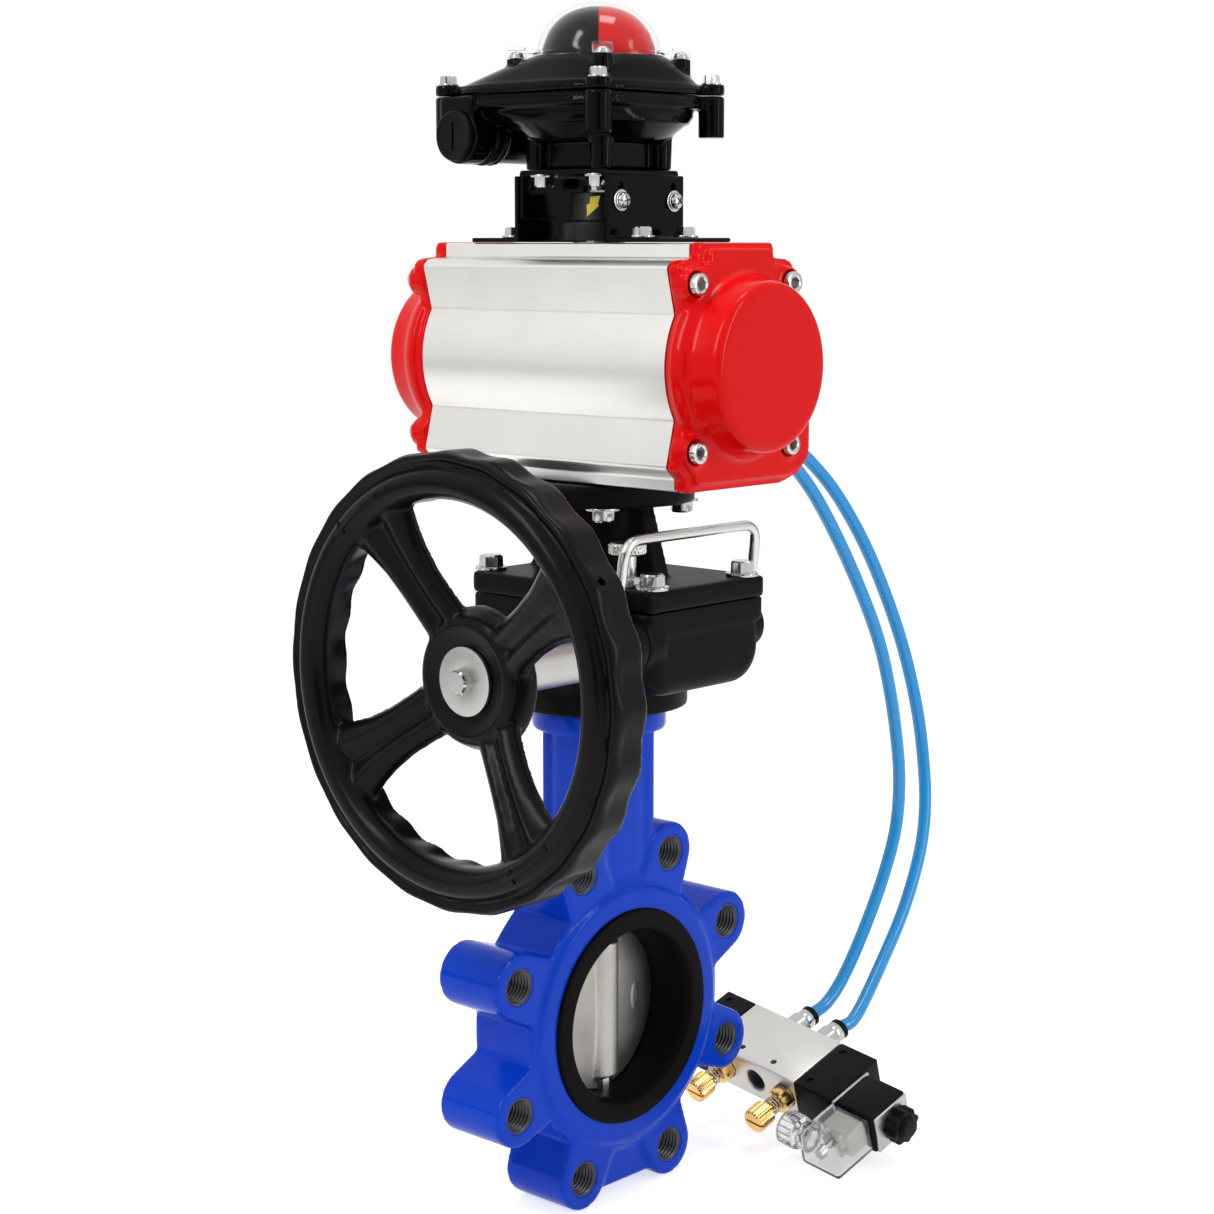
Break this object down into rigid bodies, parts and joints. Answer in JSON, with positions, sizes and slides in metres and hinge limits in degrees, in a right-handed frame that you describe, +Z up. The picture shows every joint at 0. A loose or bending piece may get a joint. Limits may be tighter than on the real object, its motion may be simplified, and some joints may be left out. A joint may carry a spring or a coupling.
{
  "type": "actuated butterfly valve",
  "caption": "Lug butterfly valve turned by a rack-and-pinion air actuator through a declutchable worm gearbox with a handwheel, with a switch box and a solenoid valve on air tubes.",
  "frame": {"origin": "centre of the footprint of everything but the air tubes, on the floor", "axes": "+Z up along the stem, Y along the pipe, +X from the handwheel towards the air ports"},
  "size_m": [0.4189, 0.2552, 0.5639],
  "materials": {
    "blue_epoxy": "glossy epoxy on a casting",
    "black_rubber": "moulded, matt",
    "cast_stainless": "cast, grainy",
    "stainless": "bright",
    "nylon": "plain",
    "black_paint": "satin",
    "bronze": "machined",
    "anodised": "satin anodised extrusion",
    "red_paint": "glossy",
    "black_plastic": "moulded",
    "switch_black": "semi-gloss",
    "clear_plastic": "clear",
    "indicator_red": "red and black sectors",
    "valve_silver": "satin anodised",
    "brass": "bright, knurled",
    "blue_tube": "translucent tube"
  },
  "bodies": {
    "base": {"valve_body": "blue_epoxy", "seat_liner": "black_rubber", "stem_bush": "nylon", "gearbox_housing": "black_paint", "gearbox_cover": "black_paint", "lock_pin_base": "stainless", "actuator_body": "anodised", "end_cap_front": "red_paint", "end_cap_rear": "red_paint", "cap_screw_1": "stainless", "cap_screw_2": "stainless", "cap_screw_3": "stainless", "cap_screw_4": "stainless", "port_fitting_a": "stainless", "port_fitting_b": "stainless", "bracket_top": "black_paint", "bracket_foot_front": "black_paint", "bracket_foot_rear": "black_paint", "switch_base": "switch_black", "switch_lid": "switch_black", "indicator_dome": "clear_plastic", "microswitch_pair": "black_plastic", "conduit_plug": "black_plastic", "valve_block": "valve_silver", "end_block": "black_plastic", "pilot_block": "black_plastic", "solenoid_coil": "black_plastic", "cable_plug": "clear_plastic", "muffler_body_1": "brass", "muffler_body_2": "brass", "needle_spring_1": "stainless", "needle_spring_2": "stainless", "push_in_fitting_a": "stainless", "push_in_fitting_b": "stainless", "air_tube_a": "blue_tube", "air_tube_b": "blue_tube"},
    "drive": {"valve_disc": "cast_stainless", "valve_stem": "stainless", "lower_stem": "stainless", "worm_wheel": "bronze", "drive_shaft": "stainless", "pinion": "stainless", "shaft_coupler": "black_plastic", "switch_shaft": "stainless", "switch_cams": "black_plastic", "position_indicator": "indicator_red"},
    "clutch": {"sleeve_left": "stainless", "sleeve_right": "stainless", "clutch_bail": "stainless"},
    "handwheel": {"handwheel": "black_paint", "hub_washer": "stainless", "hub_bolt": "stainless", "worm_shaft": "stainless"},
    "lock_pin": {"lock_pin": "stainless"},
    "piston_front": {"piston_front": "anodised"},
    "piston_rear": {"piston_rear": "anodised"},
    "spool": {"valve_spool": "stainless"},
    "needle_1": {"needle_knob_1": "brass"},
    "needle_2": {"needle_knob_2": "brass"},
    "coil_nut": {"coil_nut": "black_plastic"}
  },
  "joints": [
    {"name": "drive_turn", "type": "hinge", "parent": "base", "child": "drive", "pos_m": [-0.0016, 0.0236, 0.08911], "axis": [0, 0, 1], "range_deg": [-6, 84]},
    {"name": "piston_front_slide", "type": "slide", "parent": "base", "child": "piston_front", "axis": [0, -1, 0], "range_m": [-0.0017, 0.0227]},
    {"name": "piston_rear_slide", "type": "slide", "parent": "base", "child": "piston_rear", "axis": [0, 1, 0], "range_m": [-0.0017, 0.0227]},
    {"name": "clutch_swing", "type": "hinge", "parent": "base", "child": "clutch", "pos_m": [-0.0016, -0.0309, 0.27851], "axis": [1, 0, 0], "range_deg": [0, 90]},
    {"name": "handwheel_turn", "type": "hinge", "parent": "clutch", "child": "handwheel", "pos_m": [-0.0016, -0.0309, 0.27501], "axis": [1, 0, 0], "continuous": true},
    {"name": "lock_pin_lift", "type": "slide", "parent": "base", "child": "lock_pin", "axis": [0, 0, 1], "range_m": [0, 0.006]},
    {"name": "spool_shift", "type": "slide", "parent": "base", "child": "spool", "axis": [-0.0646, -0.991, -0.1173], "range_m": [0, 0.005], "stiffness_N_per_m": 400, "springref_m": -0.004},
    {"name": "needle_1_turn", "type": "hinge", "parent": "base", "child": "needle_1", "pos_m": [0.10522, 0.03186, 0.02916], "axis": [-0.9301, 0.1024, -0.3528], "continuous": true},
    {"name": "needle_2_turn", "type": "hinge", "parent": "base", "child": "needle_2", "pos_m": [0.10251, -0.00977, 0.02423], "axis": [-0.9301, 0.1024, -0.3528], "continuous": true},
    {"name": "coil_nut_turn", "type": "hinge", "parent": "base", "child": "coil_nut", "pos_m": [0.11329, -0.07111, 0.02251], "axis": [-0.0646, -0.991, -0.1173], "continuous": true}
  ],
  "couplings": [
    {"joint": "piston_front_slide", "follows": "drive_turn", "m_per_rad": 0.0154},
    {"joint": "piston_rear_slide", "follows": "drive_turn", "m_per_rad": 0.0154}
  ]
}
